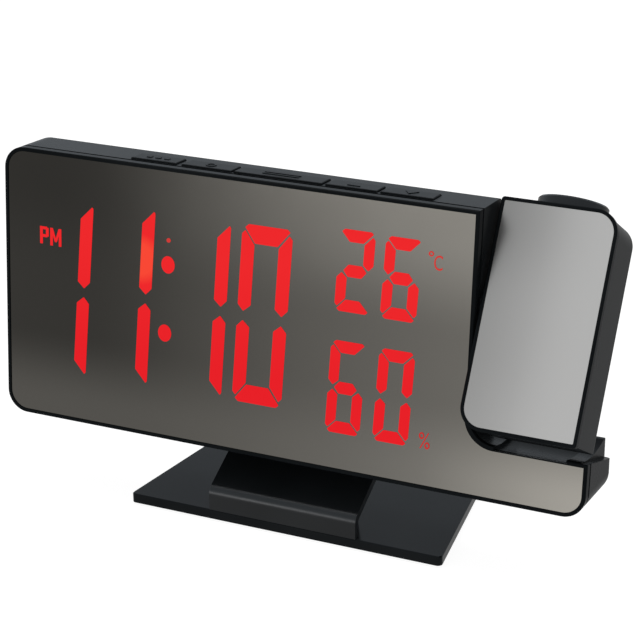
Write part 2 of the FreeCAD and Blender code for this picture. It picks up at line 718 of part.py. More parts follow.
def arm_casing():
    """Moulded shell of the arm with saddles for the optics and holes for pivot and lens."""
    y0 = ARM_RIM_DEPTH + ARM_GROOVE
    outer = arm_outline(ARM_STEP, y0).extrude(V(0, ARM_DEPTH - y0, 0))
    rear = [e for e in outer.Edges if abs(e.CenterOfMass.y - ARM_DEPTH) < 0.01]
    outer = outer.makeFillet(ARM_BACK_RADIUS, rear)
    inner = arm_outline(ARM_STEP + ARM_WALL, y0 - 1).extrude(V(0, ARM_DEPTH - ARM_WALL - y0 + 1, 0))
    posts = [rod_y(x, z, BOSS_RADIUS, BOSS_SPLIT, ARM_DEPTH).common(outer) for x, z in arm_screw_places()]
    for height in SADDLE_HEIGHTS:
        posts.append(block(OPTIC_X - TUBE_RADIUS, OPTIC_X + TUBE_RADIUS, OPTIC_Y + TUBE_RADIUS / 2, ARM_DEPTH - 1,
                           TUBE_BOTTOM + height, TUBE_BOTTOM + height + SADDLE_THICKNESS))
    shell = join([outer.cut(inner)] + posts)
    shell = shell.cut(rod_z(OPTIC_X, OPTIC_Y, TUBE_RADIUS, TUBE_BOTTOM, tube_top()))
    shell = shell.cut(rod_z(OPTIC_X, OPTIC_Y, SLEEVE_RADIUS + RING_FIT, ARM_TOP - ARM_STEP - ARM_WALL - 1,
                            ARM_TOP + 1))
    shell = shell.cut(rod_x(PIVOT_Y, PIVOT_Z, PIVOT_RADIUS, ARM_LEFT - 1, ARM_LEFT + ARM_STEP + ARM_WALL + 1))
    for x, z in arm_screw_places():
        seat = ARM_DEPTH - HEAD_COVER - HEAD_HEIGHT
        shell = shell.cut(rod_y(x, z, PILOT_RADIUS + SCREW_CLEAR, BOSS_SPLIT - 1, seat + 1))
        shell = shell.cut(rod_y(x, z, HEAD_RADIUS + SCREW_CLEAR, seat, ARM_DEPTH + 1))
    return shell


def arm_screws():
    seat = ARM_DEPTH - HEAD_COVER - HEAD_HEIGHT
    screws = []
    for x, z in arm_screw_places():
        shank = rod_y(x, z, PILOT_RADIUS, BOSS_SPLIT - PILOT_BITE + 0.5, seat)
        screws.append(join([shank, rod_y(x, z, HEAD_RADIUS, seat, seat + HEAD_HEIGHT)]))
    return Part.makeCompound(screws)


def pivot_tube():
    """Hollow pivot: the wires of the projector pass through its bore."""
    inner_face = ARM_LEFT + ARM_STEP + ARM_WALL
    end = NOTCH_X - WALL - PIVOT_FIT - PIVOT_NUT_THICKNESS - 1.0
    tube = rod_x(PIVOT_Y, PIVOT_Z, PIVOT_RADIUS, end, inner_face + PIVOT_FLANGE_THICKNESS)
    flange = rod_x(PIVOT_Y, PIVOT_Z, PIVOT_FLANGE, inner_face, inner_face + PIVOT_FLANGE_THICKNESS)
    bore = rod_x(PIVOT_Y, PIVOT_Z, PIVOT_BORE, end - 1, inner_face + PIVOT_FLANGE_THICKNESS + 1)
    return join([tube, flange]).cut(bore)


def friction_washer():
    x0 = NOTCH_X + PIVOT_FIT
    x1 = ARM_LEFT + ARM_STEP
    disc = rod_x(PIVOT_Y, PIVOT_Z, WASHER_RADIUS, x0, x1)
    return disc.cut(rod_x(PIVOT_Y, PIVOT_Z, PIVOT_RADIUS, x0 - 1, x1 + 1))


def pivot_nut():
    """Six-sided nut that draws the pivot tight on the inside of the notch wall."""
    x1 = NOTCH_X - WALL - PIVOT_FIT
    x0 = x1 - PIVOT_NUT_THICKNESS
    across = NUT_FLAT / math.cos(math.pi / 6)
    corners = []
    for i in range(6):
        turn = math.radians(60 * i + 30)
        corners.append((PIVOT_Y + across * math.cos(turn), PIVOT_Z + across * math.sin(turn), 0.6))
    body = outline(corners, side(x0)).extrude(V(x1 - x0, 0, 0))
    return body.cut(rod_x(PIVOT_Y, PIVOT_Z, PIVOT_RADIUS, x0 - 1, x1 + 1))


# Projection optics
def tube_top():
    return RING_TOP - BARREL_RECESS - BARREL_LENGTH - BARREL_TRAVEL - TUBE_CLEAR


def revolved(points):
    """Turned part from (radius, z) points, about the optical axis."""
    place = lambda p: V(OPTIC_X + p.x, OPTIC_Y, p.y)
    return outline([(r, z, 0) for r, z in points], place).revolve(V(OPTIC_X, OPTIC_Y, 0), V(0, 0, 1), 360)


def focus_ring():
    """Turning ring with its sleeve, kept in the top wall by a lip."""
    bore = BARREL_RADIUS
    wall_bottom = ARM_TOP - ARM_STEP - ARM_WALL
    end = ARM_TOP - SLEEVE_LENGTH
    lip = SLEEVE_RADIUS + SLEEVE_LIP
    return revolved([
        (bore, RING_TOP), (RING_RADIUS - RING_CHAMFER, RING_TOP), (RING_RADIUS, RING_TOP - RING_CHAMFER),
        (RING_RADIUS, RING_BOTTOM), (SLEEVE_RADIUS, RING_BOTTOM), (SLEEVE_RADIUS, wall_bottom - RING_FIT),
        (lip, wall_bottom - RING_FIT), (lip, wall_bottom - RING_FIT - SLEEVE_LIP),
        (SLEEVE_RADIUS, wall_bottom - RING_FIT - 2 * SLEEVE_LIP), (SLEEVE_RADIUS, end), (bore, end),
    ])


def lens_barrel():
    outer = BARREL_RADIUS - BARREL_FIT
    inner = outer - BARREL_WALL
    step = inner - 0.8
    top = RING_TOP - BARREL_RECESS
    seat = top - LENS_THICKNESS
    bottom = top - BARREL_LENGTH
    return revolved([
        (inner, top), (outer, top), (outer, bottom), (step, bottom), (step, seat), (inner, seat),
    ])


def lens(radius, level_z, thickness, crown, flat_side):
    """Lens with one or two crowned faces; its rim is cylindrical."""
    bulge = (radius ** 2 + crown ** 2) / (2 * crown)
    rim = rod_z(OPTIC_X, OPTIC_Y, radius, level_z, level_z + thickness)
    upper = Part.makeSphere(bulge, V(OPTIC_X, OPTIC_Y, level_z + thickness - bulge))
    lens_body = rim.common(upper)
    if flat_side:
        return lens_body
    return lens_body.common(Part.makeSphere(bulge, V(OPTIC_X, OPTIC_Y, level_z + bulge)))


def projection_lens():
    radius = BARREL_RADIUS - BARREL_FIT - BARREL_WALL
    seat = RING_TOP - BARREL_RECESS - LENS_THICKNESS
    return lens(radius, seat, LENS_THICKNESS - 0.3, LENS_CROWN, True)


def optics_tube():
    """Fixed tube with the ledge that carries the image slide."""
    wide = TUBE_RADIUS - TUBE_WALL
    narrow = wide - 0.8
    return revolved([
        (wide, tube_top()), (TUBE_RADIUS, tube_top()), (TUBE_RADIUS, TUBE_BOTTOM), (narrow, TUBE_BOTTOM),
        (narrow, SLIDE_LEVEL), (wide, SLIDE_LEVEL),
    ])


def image_slide():
    half = SLIDE_SIZE / 2
    return block(OPTIC_X - half, OPTIC_X + half, OPTIC_Y - half, OPTIC_Y + half,
                 SLIDE_LEVEL, SLIDE_LEVEL + SLIDE_THICKNESS)


def condenser_lens():
    return lens(TUBE_RADIUS - TUBE_WALL - 0.8, TUBE_BOTTOM + CONDENSER_HEIGHT, CONDENSER_THICKNESS, 1.4, False)


def led_board():
    return rod_z(OPTIC_X, OPTIC_Y, LED_BOARD_RADIUS, TUBE_BOTTOM - BOARD, TUBE_BOTTOM)


def projector_led():
    half = LED_SIZE / 2
    body = block(OPTIC_X - half, OPTIC_X + half, OPTIC_Y - half, OPTIC_Y + half, TUBE_BOTTOM, TUBE_BOTTOM + 1.0)
    dome = Part.makeSphere(half - 0.3, V(OPTIC_X, OPTIC_Y, TUBE_BOTTOM + LED_HEIGHT / 2))
    return join([body, dome.common(block(OPTIC_X - half, OPTIC_X + half, OPTIC_Y - half, OPTIC_Y + half,
                                         TUBE_BOTTOM + 0.5, TUBE_BOTTOM + 3 * LED_HEIGHT))])


# Stand
def base_half_width(depth):
    """Half width of the tapering base at a distance behind its front edge."""
    return (BASE_FRONT_WIDTH + (BASE_BACK_WIDTH - BASE_FRONT_WIDTH) * depth / BASE_DEPTH) / 2


def base_outline(inset, z):
    front_half = base_half_width(inset) - inset
    back_half = base_half_width(BASE_DEPTH - inset) - inset
    y0 = BASE_FRONT + inset
    y1 = BASE_FRONT + BASE_DEPTH - inset
    radius = BASE_RADIUS
    corners = [(-front_half, y0, radius), (front_half, y0, radius), (back_half, y1, radius),
               (-back_half, y1, radius)]
    return outline(corners, level(z))


def foot_places():
    places = []
    for depth in (FOOT_INSET, BASE_DEPTH - FOOT_INSET):
        half = base_half_width(depth) - FOOT_INSET
        places += [(-half, BASE_FRONT + depth), (half, BASE_FRONT + depth)]
    return places


def base_plate():
    """Tapering plate, hollow underneath, with screw holes under the neck."""
    plate = base_outline(0, FOOT_HEIGHT).extrude(V(0, 0, BASE_THICKNESS))
    top = [e for e in plate.Edges if e.BoundBox.ZMin > BODY_BASE - 0.01]
    plate = plate.makeChamfer(0.35, top)
    ceiling = BODY_BASE - BASE_SKIN
    plate = plate.cut(base_outline(BASE_SKIRT, FOOT_HEIGHT - 1).extrude(V(0, 0, ceiling - FOOT_HEIGHT + 1)))
    for x in (-BASE_SCREW_X, BASE_SCREW_X):
        plate = plate.cut(rod_z(x, BASE_FRONT + BASE_SCREW_Y, PILOT_RADIUS + SCREW_CLEAR, 0, BODY_BASE + 1))
    return plate


def feet():
    ceiling = BODY_BASE - BASE_SKIN
    return Part.makeCompound([rod_z(x, y, FOOT_RADIUS, 0, ceiling) for x, y in foot_places()])


def base_screws():
    ceiling = BODY_BASE - BASE_SKIN
    screws = []
    for x in (-BASE_SCREW_X, BASE_SCREW_X):
        y = BASE_FRONT + BASE_SCREW_Y
        head = rod_z(x, y, HEAD_RADIUS, ceiling - HEAD_HEIGHT / 2, ceiling)
        screws.append(join([head, rod_z(x, y, PILOT_RADIUS, ceiling, BODY_BASE + NECK_BOSS_HEIGHT - 1)]))
    return Part.makeCompound(screws)


def stand_point(y, z):
    """Place of a point of the leaning body in the upright frame of the stand."""
    lean = math.radians(LEAN_DEG)
    return (y * math.cos(lean) + z * math.sin(lean),
            BODY_BASE + BODY_RISE - y * math.sin(lean) + z * math.cos(lean))


def offset_path(points, distance):
    """The path moved sideways by a distance, with mitred corners."""
    moved = []
    for i, (y, z) in enumerate(points):
        normals = []
        for j in (i - 1, i):
            if 0 <= j < len(points) - 1:
                dy = points[j + 1][0] - points[j][0]
                dz = points[j + 1][1] - points[j][1]
                length = math.hypot(dy, dz)
                normals.append((dz / length, -dy / length))
        ny = sum(n[0] for n in normals) / len(normals)
        nz = sum(n[1] for n in normals) / len(normals)
        scale = distance / (ny * ny + nz * nz)
        moved.append((y + ny * scale, z + nz * scale))
    return moved


def neck_path():
    """Front face of the neck: upright, bent back, then up behind the body."""
    return [(BASE_FRONT, BODY_BASE), (BASE_FRONT, BODY_BASE + NECK_FRONT_HEIGHT),
            stand_point(back_depth(0), 0), stand_point(back_depth(NECK_TONGUE), NECK_TONGUE)]


def neck():
    """Bent bracket with ribs and screw bosses under its slope."""
    face = neck_path()
    rear = offset_path(face, NECK_THICKNESS)
    inner_bend = NECK_BEND - NECK_THICKNESS
    radii = (0, NECK_BEND, 0.2, 1.0)
    rear_radii = (0, inner_bend, NECK_THICKNESS, 1.0)
    corners = [(y, z, r) for (y, z), r in zip(face, radii)]
    corners += [(y, z, r) for (y, z), r in reversed(list(zip(rear, rear_radii)))]
    start = -NECK_WIDTH / 2
    bracket = outline(corners, side(start)).extrude(V(NECK_WIDTH, 0, 0))
    slope_y = (rear[1][0] + rear[2][0]) / 2
    slope_z = (rear[1][1] + rear[2][1]) / 2
    under = outline([(rear[0][0] - 0.5, BODY_BASE, 0), (rear[1][0] - 0.5, rear[1][1] + 0.3, 0),
                     (slope_y, slope_z + 0.3, 0), (slope_y - 3, BODY_BASE, 0)], side(start))
    space = under.extrude(V(NECK_WIDTH, 0, 0))
    ribs = [space.common(block(x - NECK_RIB / 2, x + NECK_RIB / 2, 0, FOOT_DEPTH, 0, BODY_HEIGHT))
            for x in NECK_RIB_X]
    bosses = [rod_z(x, BASE_FRONT + BASE_SCREW_Y, BOSS_RADIUS, BODY_BASE, BODY_BASE + NECK_BOSS_HEIGHT)
              for x in (-BASE_SCREW_X, BASE_SCREW_X)]
    webs = [block(x - 0.8, x + 0.8, BASE_FRONT + NECK_THICKNESS - 0.4, BASE_FRONT + BASE_SCREW_Y, BODY_BASE,
                  BODY_BASE + NECK_BOSS_HEIGHT) for x in (-BASE_SCREW_X, BASE_SCREW_X)]
    body = join([bracket] + ribs + bosses + webs)
    for x in (-BASE_SCREW_X, BASE_SCREW_X):
        body = body.cut(rod_z(x, BASE_FRONT + BASE_SCREW_Y, PILOT_RADIUS, 0, BODY_BASE + NECK_BOSS_HEIGHT - 0.8))
    for x in (-NECK_SCREW_X, NECK_SCREW_X):
        hole = on_back(rod_y(0, 0, PILOT_RADIUS + SCREW_CLEAR, -1, NECK_THICKNESS + 2), x, NECK_SCREW_Z)
        body = body.cut(leaned(hole))
    return body


def neck_screws():
    screws = []
    for x in (-NECK_SCREW_X, NECK_SCREW_X):
        shank = rod_y(0, 0, PILOT_RADIUS, -WALL - PILOT_BITE + 0.5, NECK_THICKNESS)
        head = rod_y(0, 0, HEAD_RADIUS, NECK_THICKNESS, NECK_THICKNESS + HEAD_HEIGHT)
        screws.append(on_back(join([shank, head]), x, NECK_SCREW_Z))
    return Part.makeCompound(screws)


# Assembly
def leaned(shape):
    """Leans a shape of the body back and lifts it over the stand."""
    moved = shape.copy()
    moved.rotate(V(0, 0, 0), V(1, 0, 0), -LEAN_DEG)
    moved.translate(V(0, 0, BODY_BASE + BODY_RISE))
    return moved


def tilted(shape):
    """Turns a shape of the closed arm back about its pivot."""
    moved = shape.copy()
    moved.rotate(V(0, PIVOT_Y, PIVOT_Z), V(1, 0, 0), -ARM_TILT_DEG)
    return moved


def build():
    body = {
        "front_frame": front_frame(), "front_mirror": front_mirror(), "casing": casing(),
        "casing_screws": casing_screws(), "segment_reflector": reflector(), "display_board": display_board(),
        "main_board": main_board(), "board_screws": board_screws(), "power_inlet": power_inlet(),
        "speaker": speaker(), "cell_holder": cell_holder(), "coin_cell": coin_cell(), "cell_cover": cell_cover(),
        "key_board": key_board(), "key_switches": key_switches(), "neck_screws": neck_screws(),
    }
    for name, span in KEY_SPANS.items():
        body[name] = key(span)
    arm = {
        "arm_front": arm_front(), "arm_mirror": arm_mirror(), "arm_casing": arm_casing(),
        "arm_screws": arm_screws(), "pivot_tube": pivot_tube(), "friction_washer": friction_washer(),
        "pivot_nut": pivot_nut(), "optics_tube": optics_tube(), "led_board": led_board(),
        "projector_led": projector_led(), "condenser_lens": condenser_lens(), "image_slide": image_slide(),
        "focus_ring": focus_ring(), "lens_barrel": lens_barrel(), "projection_lens": projection_lens(),
    }
    pieces = {"base_plate": base_plate(), "feet": feet(), "base_screws": base_screws(), "neck": neck()}
    for name, shape in arm.items():
        body[name] = tilted(shape)
    for name, shape in body.items():
        pieces[name] = leaned(shape)
    return pieces


def origin_shift(pieces):
    """Moves the origin to the middle of the underside of the whole object."""
    bounds = [shape.BoundBox for shape in pieces.values()]
    middle = (min(b.YMin for b in bounds) + max(b.YMax for b in bounds)) / 2
    return V(0, -middle, 0)


def main():
    pieces = build()
    shift = origin_shift(pieces)
    os.makedirs("parts", exist_ok=True)
    for name, shape in pieces.items():
        shape.translate(shift)
        shape.exportStep("parts/" + name + ".step")
        print(name, len(shape.Solids), "solids", round(shape.Volume / 1000, 2), "cm3", shape.isValid())


main()
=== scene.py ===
# %% [markdown]
# # A mirror-front alarm clock with a projector arm
# The frame holds every part of the clock that has a real shape: shells, mirrors, keys, arm and stand. What
# is left for this script is the look: the lit digits, the raised marks on the keys, the finish of each
# surface, and a plain studio. All lengths are metres, in the same frame as the parts.

# %% Load the frame
import math

import bpy
from mathutils import Matrix, Vector


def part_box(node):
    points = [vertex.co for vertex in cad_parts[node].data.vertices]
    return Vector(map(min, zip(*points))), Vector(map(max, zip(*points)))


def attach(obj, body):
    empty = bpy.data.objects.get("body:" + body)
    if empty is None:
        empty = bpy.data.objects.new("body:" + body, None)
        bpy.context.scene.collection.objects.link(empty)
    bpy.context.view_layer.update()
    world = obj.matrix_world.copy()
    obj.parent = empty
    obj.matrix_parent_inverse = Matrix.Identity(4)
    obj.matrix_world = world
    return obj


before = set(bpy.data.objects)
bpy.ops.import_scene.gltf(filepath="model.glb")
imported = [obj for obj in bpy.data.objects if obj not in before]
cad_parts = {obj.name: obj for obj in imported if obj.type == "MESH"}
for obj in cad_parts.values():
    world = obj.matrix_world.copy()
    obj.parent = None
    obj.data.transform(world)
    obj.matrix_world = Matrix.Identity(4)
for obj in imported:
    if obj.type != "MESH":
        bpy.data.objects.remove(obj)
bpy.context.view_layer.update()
MM = 0.001

# %% [markdown]
# The front of the clock leans back a little, so flat things are easier to draw upright and lean afterwards.
# The panel frame has X to the right along the display, Y into the clock and Z up along the glass. Its
# origin is the middle of the lower front edge, which is read from the front frame's box.

# %% The leaning panel frame
LEAN = math.radians(5.0)
RIM_DEPTH = 2.6 * MM
EDGE_EASE = 0.3 * MM

low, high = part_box("front_frame")
corner = (0, low[1] - EDGE_EASE * math.sin(LEAN), low[2] + RIM_DEPTH * math.sin(LEAN))
PANEL = Matrix.Translation(corner) @ Matrix.Rotation(-LEAN, 4, "X")
print("panel origin:", [round(v / MM, 2) for v in PANEL.translation])

# %% [markdown]
# A product photograph is taken from a few steps away with a long lens, which keeps the box shape calm. The
# camera stands to the right, looks down on the clock, and is rolled by a fraction of a degree. Its place
# and its lens were fitted to the straight edges of the clock in the photograph, since guessing them by eye
# would bend every later comparison.

# %% Camera
CAMERA_PLACE = Vector((0.25308, -0.54773, 0.30812))
CAMERA_AZIMUTH = math.radians(24.645)
CAMERA_ELEVATION = math.radians(22.126)
CAMERA_ROLL = math.radians(0.389)
CAMERA_LENS = 117.77
SENSOR = 36.0

aim = Matrix.Rotation(CAMERA_AZIMUTH, 4, "Z") @ Matrix.Rotation(math.pi / 2 - CAMERA_ELEVATION, 4, "X")
camera_data = bpy.data.cameras.new("photo_camera")
camera_data.lens = CAMERA_LENS
camera_data.sensor_width = SENSOR
camera = bpy.data.objects.new("photo_camera", camera_data)
camera.matrix_world = Matrix.Translation(CAMERA_PLACE) @ aim @ Matrix.Rotation(-CAMERA_ROLL, 4, "Z")
bpy.context.collection.objects.link(camera)
bpy.context.scene.camera = camera
print("lens:", CAMERA_LENS, "mm")

# %% [markdown]
# Black plastic is drawn by what it reflects, so the room matters more than the plastic's own colour. A
# plain white world would make it paler, so the eye, the gloss and the fill light each get their own white,
# mixed by the kind of ray.

# %% World
WHITE = (1, 1, 1, 1)
COOL = (0.92, 1.0, 1.08, 1)
ROOM = {"fill": (0.55, WHITE), "gloss": (0.80, COOL), "white": (1.0, WHITE)}


def studio_world():
    world = bpy.data.worlds.new("studio")
    world.use_nodes = True
    nodes, links = world.node_tree.nodes, world.node_tree.links
    nodes.clear()
    output = nodes.new("ShaderNodeOutputWorld")
    path = nodes.new("ShaderNodeLightPath")
    shades = {}
    for name, (strength, tone) in ROOM.items():
        shades[name] = nodes.new("ShaderNodeBackground")
        shades[name].inputs["Color"].default_value = tone
        shades[name].inputs["Strength"].default_value = strength
    shiny = nodes.new("ShaderNodeMixShader")
    links.new(path.outputs["Is Glossy Ray"], shiny.inputs[0])
    links.new(shades["fill"].outputs[0], shiny.inputs[1])
    links.new(shades["gloss"].outputs[0], shiny.inputs[2])
    through = nodes.new("ShaderNodeMath")
    through.operation = "MAXIMUM"
    links.new(path.outputs["Is Camera Ray"], through.inputs[0])
    links.new(path.outputs["Is Transmission Ray"], through.inputs[1])
    seen = nodes.new("ShaderNodeMixShader")
    links.new(through.outputs[0], seen.inputs[0])
    links.new(shiny.outputs[0], seen.inputs[1])
    links.new(shades["white"].outputs[0], seen.inputs[2])
    links.new(seen.outputs[0], output.inputs["Surface"])
    bpy.context.scene.world = world


studio_world()
print("room:", {name: strength for name, (strength, tone) in ROOM.items()})

# %% [markdown]
# A clock like this is lit with soft lamps, because a small bare one shows as a hard spot in the plastic. A
# round area lamp is soft by its size, and a helper aims it. The large lamp hangs above and to the left. The
# small one stands low in front and draws a bright line along the bent edges.

# %% Lamps
def soft_lamp(name, place, target, size, watts):
    data = bpy.data.lights.new(name, "AREA")
    data.shape = "DISK"
    data.size = size
    data.energy = watts
    lamp = bpy.data.objects.new(name, data)
    towards = Vector(target) - Vector(place)
    lamp.matrix_world = Matrix.Translation(place) @ towards.to_track_quat("-Z", "Y").to_matrix().to_4x4()
    bpy.context.collection.objects.link(lamp)


soft_lamp("top_lamp", place=(-0.35, 0.1, 1.3), target=(0, 0, 0.05), size=0.9, watts=8.0)
soft_lamp("front_lamp", place=(-0.42, -1.0, 0.16), target=(0, 0, 0.03), size=0.3, watts=1.2)
bpy.context.scene.view_settings.view_transform = "Standard"
print("lamps:", [lamp.name for lamp in bpy.data.lights])

# %% [markdown]
# The floor is a lit white table. Lamps alone would leave it grey, so most of its light is its own, and it
# still takes a soft shadow close to the stand. Gloss sees it at half brightness, which keeps the mirrors
# and the sides of the casing dark.

# %% Floor
FLOOR_REACH = 12.0
FLOOR_GLOW = 0.93
FLOOR_TONE = 0.2
FLOOR_GLOSS = 0.5
FLOOR_ROUGH = 0.9


def new_material(name):
    material = bpy.data.materials.new(name)
    material.use_nodes = True
    nodes, links = material.node_tree.nodes, material.node_tree.links
    return material, nodes, links, nodes["Principled BSDF"]


def pale_floor():
    bpy.ops.object.select_all(action="DESELECT")
    bpy.ops.mesh.primitive_plane_add(size=FLOOR_REACH)
    floor = bpy.context.object
    floor.name = "floor"
    material, nodes, links, shader = new_material("pale_floor")
    shader.inputs["Base Color"].default_value = (FLOOR_TONE, FLOOR_TONE, FLOOR_TONE, 1)
    shader.inputs["Roughness"].default_value = FLOOR_ROUGH
    shader.inputs["Specular IOR Level"].default_value = 0.0
    shader.inputs["Emission Color"].default_value = WHITE
    shader.inputs["Emission Strength"].default_value = FLOOR_GLOW
    plain = nodes.new("ShaderNodeEmission")
    plain.inputs["Strength"].default_value = FLOOR_GLOSS
    path = nodes.new("ShaderNodeLightPath")
    mix = nodes.new("ShaderNodeMixShader")
    links.new(path.outputs["Is Glossy Ray"], mix.inputs[0])
    links.new(shader.outputs[0], mix.inputs[1])
    links.new(plain.outputs[0], mix.inputs[2])
    links.new(mix.outputs[0], nodes["Material Output"].inputs["Surface"])
    floor.data.materials.append(material)


pale_floor()
print("floor laid:", FLOOR_REACH, "m across")

# %% [markdown]
# Every finish is built from the same three steps, so each is a small helper. One reads a noise at the
# piece's own place, and the pattern then stays on the piece when it moves. The others turn the noise into a
# range of colours or of values. A node group could do this too, but a function is easier to read and to
# change.

# %% Noise and ramps
NOISE_DETAIL = 3.0
TONE_SPAN = (0.3, 0.7)


def object_noise(nodes, links, scale):
    place = nodes.new("ShaderNodeTexCoord")
    noise = nodes.new("ShaderNodeTexNoise")
    noise.inputs["Scale"].default_value = scale
    noise.inputs["Detail"].default_value = NOISE_DETAIL
    links.new(place.outputs["Object"], noise.inputs["Vector"])
    return noise.outputs["Fac"]


def two_tone(nodes, links, factor, dark, light):
    ramp = nodes.new("ShaderNodeValToRGB")
    for element, position, tone in zip(ramp.color_ramp.elements, TONE_SPAN, (dark, light)):
        element.position = position
        element.color = (*tone, 1)
    links.new(factor, ramp.inputs["Fac"])
    return ramp.outputs["Color"]


def spread(nodes, links, factor, lowest, highest):
    span = nodes.new("ShaderNodeMapRange")
    span.inputs["To Min"].default_value = lowest
    span.inputs["To Max"].default_value = highest
    links.new(factor, span.inputs["Value"])
    return span.outputs["Result"]


print("noise detail:", NOISE_DETAIL)

# %% [markdown]
# Moulded black plastic is never one black. Its mould leaves a fine spark grain, and the colour and the
# gloss drift a little over the surface. A helper lays that down: a slow noise for the drift and a fast one
# for the grain.

# %% Moulded plastic
DRIFT_SCALE = 35.0
GRAIN_STRENGTH = 0.35


def grain_bump(nodes, links, shader, factor, depth, strength):
    bump = nodes.new("ShaderNodeBump")
    bump.inputs["Strength"].default_value = strength
    bump.inputs["Distance"].default_value = depth
    links.new(factor, bump.inputs["Height"])
    links.new(bump.outputs["Normal"], shader.inputs["Normal"])


def moulded(name, dark, light, rough, grain_scale, grain_depth, gloss=0.5):
    """Moulded plastic: drifting colour and gloss, with spark grain in its normal."""
    material, nodes, links, shader = new_material(name)
    drift = object_noise(nodes, links, DRIFT_SCALE)
    links.new(two_tone(nodes, links, drift, dark, light), shader.inputs["Base Color"])
    links.new(spread(nodes, links, drift, *rough), shader.inputs["Roughness"])
    shader.inputs["Specular IOR Level"].default_value = gloss
    grain_bump(nodes, links, shader, object_noise(nodes, links, grain_scale), grain_depth, GRAIN_STRENGTH)
    return material


print("drift:", DRIFT_SCALE, "per metre")

# %% [markdown]
# The casing is ABS from a spark-eroded tool, so it is satin, while the frame and the stand come from a
# polished one and are glossier. The keys are a softer black, the feet are rubber and the boards are green
# laminate.

# %% Plastics and rubber
BLACK = ((0.0045, 0.0055, 0.0062), (0.0075, 0.0088, 0.0098))
RUBBER = ((0.012, 0.012, 0.012), (0.022, 0.022, 0.022))
IVORY = ((0.72, 0.72, 0.70), (0.80, 0.80, 0.78))
LAMINATE = ((0.015, 0.13, 0.06), (0.03, 0.2, 0.1))

# Each row: two colours, least and most roughness, grains per metre, their depth in metres, and the gloss.
satin_black = moulded("satin_black", *BLACK, (0.24, 0.32), 2600.0, 0.00005, 0.035)
frame_black = moulded("frame_black", *BLACK, (0.12, 0.18), 2600.0, 0.00002, 0.015)
stand_black = moulded("stand_black", *BLACK, (0.12, 0.18), 2200.0, 0.00003, 0.08)
neck_black = moulded("neck_black", *BLACK, (0.26, 0.34), 2200.0, 0.00005, 0.36)
key_black = moulded("key_black", *BLACK, (0.30, 0.40), 2600.0, 0.00005, 0.04)
ring_black = moulded("ring_black", *BLACK, (0.16, 0.24), 2600.0, 0.00002, 0.30)
rubber_black = moulded("rubber_black", *RUBBER, (0.7, 0.85), 1500.0, 0.0001, 0.3)
white_plastic = moulded("white_plastic", *IVORY, (0.35, 0.45), 2000.0, 0.00005)
board_green = moulded("board_green", *LAMINATE, (0.3, 0.42), 900.0, 0.00004)
blacks = (satin_black, frame_black, stand_black, neck_black, key_black, ring_black)
print("black plastics:", [m.name for m in blacks])

# %% [markdown]
# The front is a half-silvered smoked acrylic sheet, which mirrors the room weakly and unevenly. A plain
# mirror would need a dark room built round the clock. Here a painted reflection in the sheet's colour stands
# in for it, and it changes from left to right and with the height. Three helpers serve for that: a colour
# band of the painted reflection, a measure of how far a point lies between two places, and a blend of two
# colours.

# %% Bands and blends
def painted_reflection_band(nodes, links, factor, stops, warm):
    """One band of the painted reflection on the sheet: a colour ramp along X in a warm grey."""
    band = nodes.new("ShaderNodeValToRGB")
    band.color_ramp.interpolation = "B_SPLINE"
    while len(band.color_ramp.elements) < len(stops):
        band.color_ramp.elements.new(0.5)
    for element, (position, tone) in zip(band.color_ramp.elements, stops):
        element.position = position
        element.color = (*(tone * w for w in warm), 1)
    links.new(factor, band.inputs["Fac"])
    return band.outputs["Color"]


def along(nodes, links, value, start, end, smooth=False):
    """How far a value has come from start to end, from 0 to 1."""
    span = nodes.new("ShaderNodeMapRange")
    if smooth:
        span.interpolation_type = "SMOOTHSTEP"
    span.inputs["From Min"].default_value = start
    span.inputs["From Max"].default_value = end
    links.new(value, span.inputs["Value"])
    return span.outputs["Result"]


def blend(nodes, links, factor, first, second):
    mix = nodes.new("ShaderNodeMix")
    mix.data_type = "RGBA"
    links.new(factor, mix.inputs["Factor"])
    links.new(first, mix.inputs["A"])
    links.new(second, mix.inputs["B"])
    return mix.outputs["Result"]


print("helpers:", painted_reflection_band.__name__, along.__name__, blend.__name__)

# %% [markdown]
# The sheet is a metallic shader, since a metal mirrors in its own tint. That tint is a painted reflection,
# made from three bands along X, for the lower edge, the middle and the top, which are blended with the
# height. A slow noise makes its gloss a little uneven, as the film is.

# %% Mirror sheet
FILM_SCALE = 60.0
LOWER_FADE = (0.04, 0.34)
TOP_FADE = (0.55, 0.92)


def mirror_sheet(node, bands, warm, rough):
    """Half mirror whose tint is a painted reflection, from three bands along X: lower edge, middle and top of
    the node's box.
    """
    box_low, box_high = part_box(node)
    height = box_high[2] - box_low[2]
    fades = [[box_low[2] + share * height for share in fade] for fade in (LOWER_FADE, TOP_FADE)]
    material, nodes, links, shader = new_material(node + "_film")
    place = nodes.new("ShaderNodeTexCoord")
    split = nodes.new("ShaderNodeSeparateXYZ")
    links.new(place.outputs["Object"], split.inputs[0])
    across = along(nodes, links, split.outputs["X"], box_low[0], box_high[0])
    lower, middle, top = (painted_reflection_band(nodes, links, across, stops, warm) for stops in bands)
    rise, crest = (along(nodes, links, split.outputs["Z"], *fade, smooth=True) for fade in fades)
    # The painted reflection: the three bands, blended with the height, become the sheet's colour.
    tint = blend(nodes, links, crest, blend(nodes, links, rise, lower, middle), top)
    links.new(tint, shader.inputs["Base Color"])
    shader.inputs["Metallic"].default_value = 1.0
    film = object_noise(nodes, links, FILM_SCALE)
    links.new(spread(nodes, links, film, *rough), shader.inputs["Roughness"])
    return material


print("bands blend at", LOWER_FADE, "and", TOP_FADE, "of the height")
